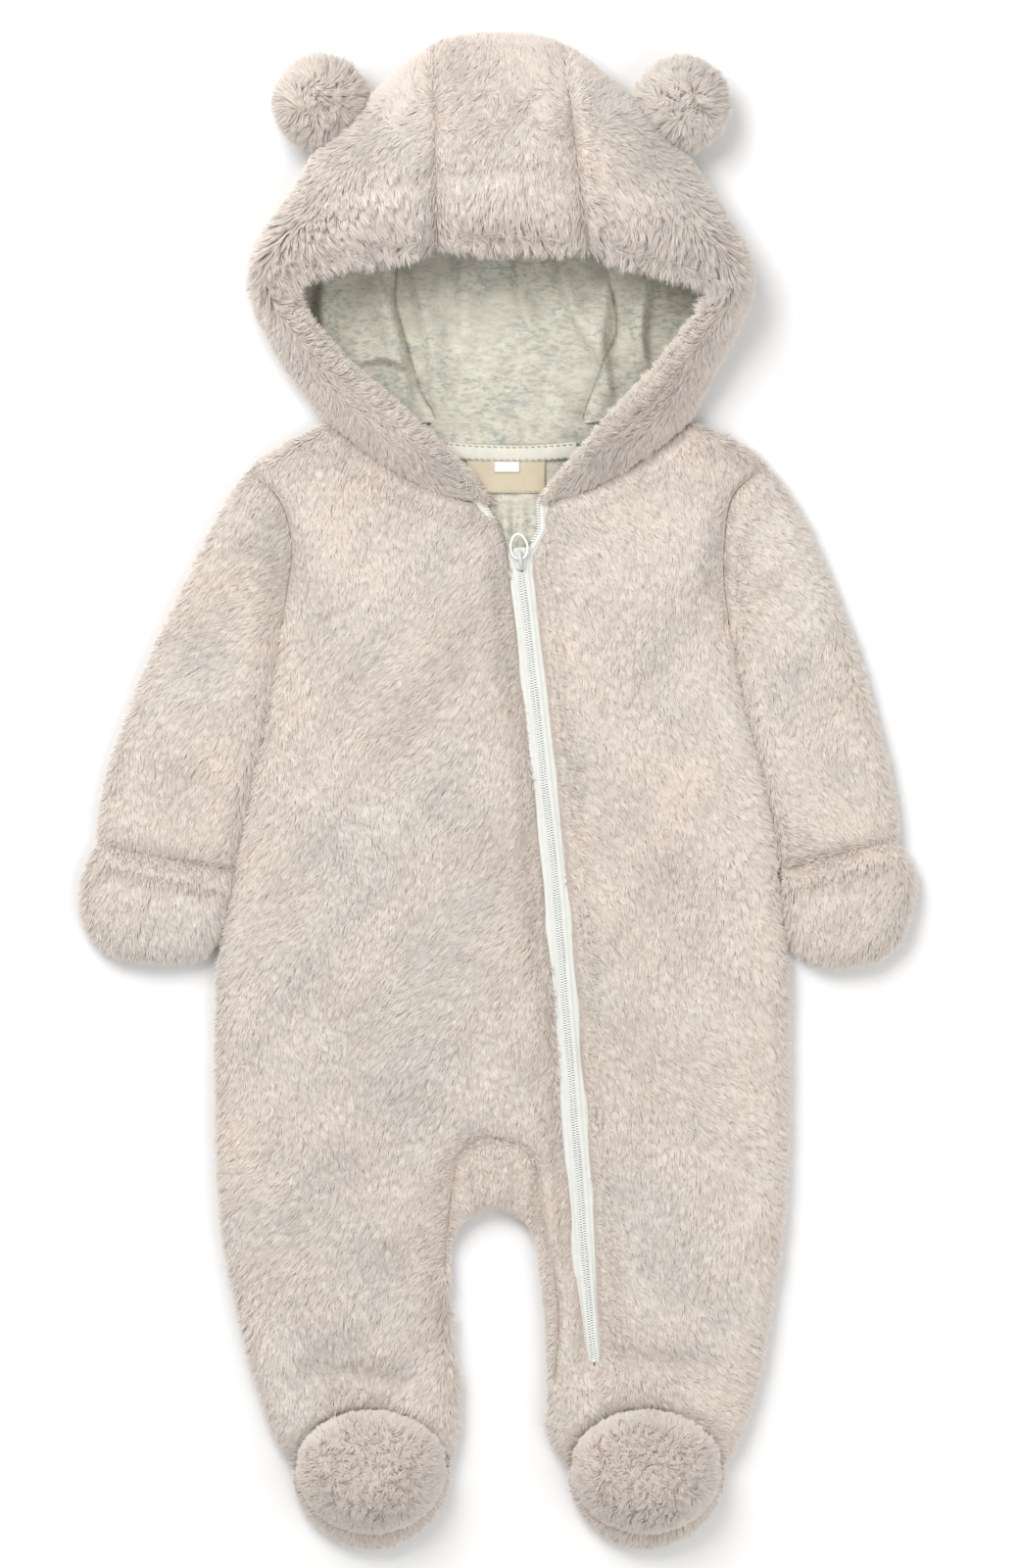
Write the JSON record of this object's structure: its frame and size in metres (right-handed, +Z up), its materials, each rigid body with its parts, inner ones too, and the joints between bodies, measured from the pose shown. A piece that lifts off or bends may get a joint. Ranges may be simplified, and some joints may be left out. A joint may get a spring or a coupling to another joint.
{
  "type": "baby snowsuit",
  "caption": "Baby's hooded plush snowsuit, laid out flat: zipped diagonally into one leg, with ear-trimmed hood, turn-over mitts and closed feet.",
  "frame": {"origin": "middle of the bounding box's underside, on the surface that the suit lies on, under the middle of the trunk", "axes": "+Y from the feet to the hood, +X towards the wearer's left side, which is on the viewer's right, +Z up from the surface, out of the suit's front"},
  "size_m": [0.422, 0.768, 0.0564],
  "materials": {
    "plush": "deep matt pile, greige",
    "sole": "deep matt pile, greige",
    "lining": "matt heathered cream jersey",
    "label": "matt woven tape",
    "zip_tape": "matt woven tape",
    "zip_plastic": "white plastic and white enamel"
  },
  "bodies": {
    "suit": {"back": "plush", "ear_left": "plush", "ear_right": "plush", "front_left": "plush", "front_right": "plush", "gusset": "plush", "hood_left": "plush", "hood_lining_left": "lining", "hood_lining_middle": "lining", "hood_lining_right": "lining", "hood_middle": "plush", "hood_right": "plush", "label": "label", "mitt_left": "plush", "mitt_right": "plush", "neck_band": "lining", "neck_lining": "lining", "size_tab": "zip_tape", "sleeve_left": "plush", "sleeve_right": "plush", "sole_left": "sole", "sole_right": "sole", "vamp_left": "plush", "vamp_right": "plush", "zip_chain": "zip_plastic", "zip_slider": "zip_plastic", "zip_tape_left": "zip_tape", "zip_tape_right": "zip_tape"},
    "ring": {"zip_pull": "zip_plastic"}
  },
  "joints": [
    {"name": "ring_hinge", "type": "hinge", "parent": "suit", "child": "ring", "pos_m": [0.01119, 0.118, 0.0141], "axis": [0.9944, 0.1056, 0], "range_deg": [0, 170]}
  ]
}
